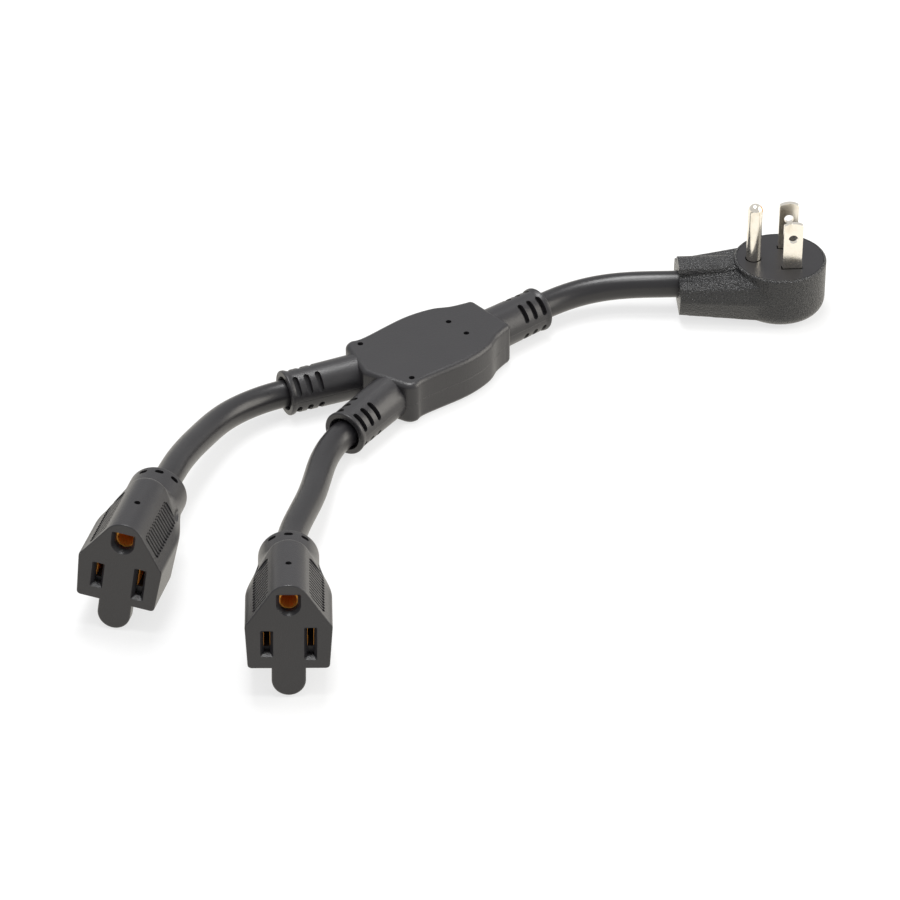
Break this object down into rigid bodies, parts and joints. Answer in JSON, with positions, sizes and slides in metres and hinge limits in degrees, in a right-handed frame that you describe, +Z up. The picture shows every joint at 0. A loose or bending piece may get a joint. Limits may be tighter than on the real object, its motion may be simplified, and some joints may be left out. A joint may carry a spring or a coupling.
{
  "type": "power cord splitter",
  "caption": "Short grounded power cord splitter: a flat-profile plug feeds a moulded junction with two cords to grounded sockets.",
  "frame": {"origin": "centre of the moulded junction's flat underside", "axes": "+X along the junction towards the plug's cord, +Z up; the sockets lie towards -X and face away from the junction"},
  "size_m": [0.2947, 0.1294, 0.0392],
  "materials": {
    "moulded_vinyl": "satin",
    "grained_vinyl": "matte grain",
    "face_plastic": "satin",
    "jacket_vinyl": "semi-gloss",
    "line_insulation": "satin",
    "neutral_insulation": "satin",
    "ground_insulation": "satin",
    "nickel_plate": "satin",
    "brass": "satin",
    "copper": "satin",
    "block_nylon": "matte"
  },
  "bodies": {
    "root": {"hub_overmould": "moulded_vinyl", "plug_body": "grained_vinyl", "prong_carrier": "face_plastic", "blade_line": "nickel_plate", "blade_neutral": "nickel_plate", "ground_prong": "nickel_plate", "cord_jacket_plug": "jacket_vinyl", "cord_jacket_socket_a": "jacket_vinyl", "cord_jacket_socket_b": "jacket_vinyl", "wire_ground_plug": "ground_insulation", "wire_line_plug": "line_insulation", "wire_neutral_plug": "neutral_insulation", "wire_ground_socket_a": "ground_insulation", "wire_line_socket_a": "line_insulation", "wire_neutral_socket_a": "neutral_insulation", "wire_ground_socket_b": "ground_insulation", "wire_line_socket_b": "line_insulation", "wire_neutral_socket_b": "neutral_insulation", "crimp_line": "copper", "crimp_neutral": "copper", "crimp_ground": "copper", "socket_body_a": "face_plastic", "contact_block_a": "block_nylon", "contact_line_a": "brass", "contact_neutral_a": "brass", "contact_ground_a": "brass", "socket_body_b": "face_plastic", "contact_block_b": "block_nylon", "contact_line_b": "brass", "contact_neutral_b": "brass", "contact_ground_b": "brass"}
  },
  "joints": []
}
